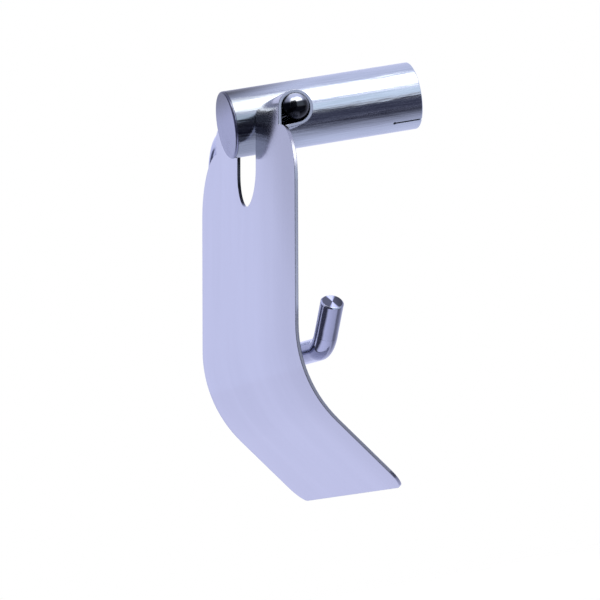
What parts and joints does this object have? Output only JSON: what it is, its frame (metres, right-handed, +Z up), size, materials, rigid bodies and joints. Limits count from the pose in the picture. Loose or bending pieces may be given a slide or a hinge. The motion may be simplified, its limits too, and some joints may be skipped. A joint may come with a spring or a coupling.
{
  "type": "toilet roll holder",
  "caption": "Wall-mounted toilet roll holder: a round post carries a swinging bent roll bar and a hinged, slotted, curved sheet cover.",
  "frame": {"origin": "middle of the post's wall end, on the wall's surface", "axes": "+Y into the wall along the post, +X to the right as seen from the room, +Z up"},
  "size_m": [0.1609, 0.0813, 0.1565],
  "materials": {
    "polished_tube": "mirror-polished stainless steel",
    "cap_steel": "polished stainless steel with fine turned grain",
    "boss_steel": "machined steel",
    "dark_steel": "blackened steel",
    "polished_rod": "polished stainless steel",
    "flap_steel": "polished sheet with a soft vertical grain"
  },
  "bodies": {
    "post": {"post_tube": "polished_tube", "front_cap": "cap_steel", "wall_boss": "boss_steel", "grub_screw": "dark_steel"},
    "hanger": {"hanger_rod": "polished_rod", "domed_sleeve": "polished_rod", "plain_sleeve": "polished_rod"},
    "flap": {"cover_flap": "flap_steel"}
  },
  "joints": [
    {"name": "hanger_swing", "type": "hinge", "parent": "post", "child": "hanger", "pos_m": [0, -0.0591, -0.0011], "axis": [-1, 0, 0], "range_deg": [-19, 60]},
    {"name": "flap_lift", "type": "hinge", "parent": "hanger", "child": "flap", "pos_m": [0, -0.0591, -0.0011], "axis": [-1, 0, 0], "range_deg": [-1.7, 140]}
  ]
}
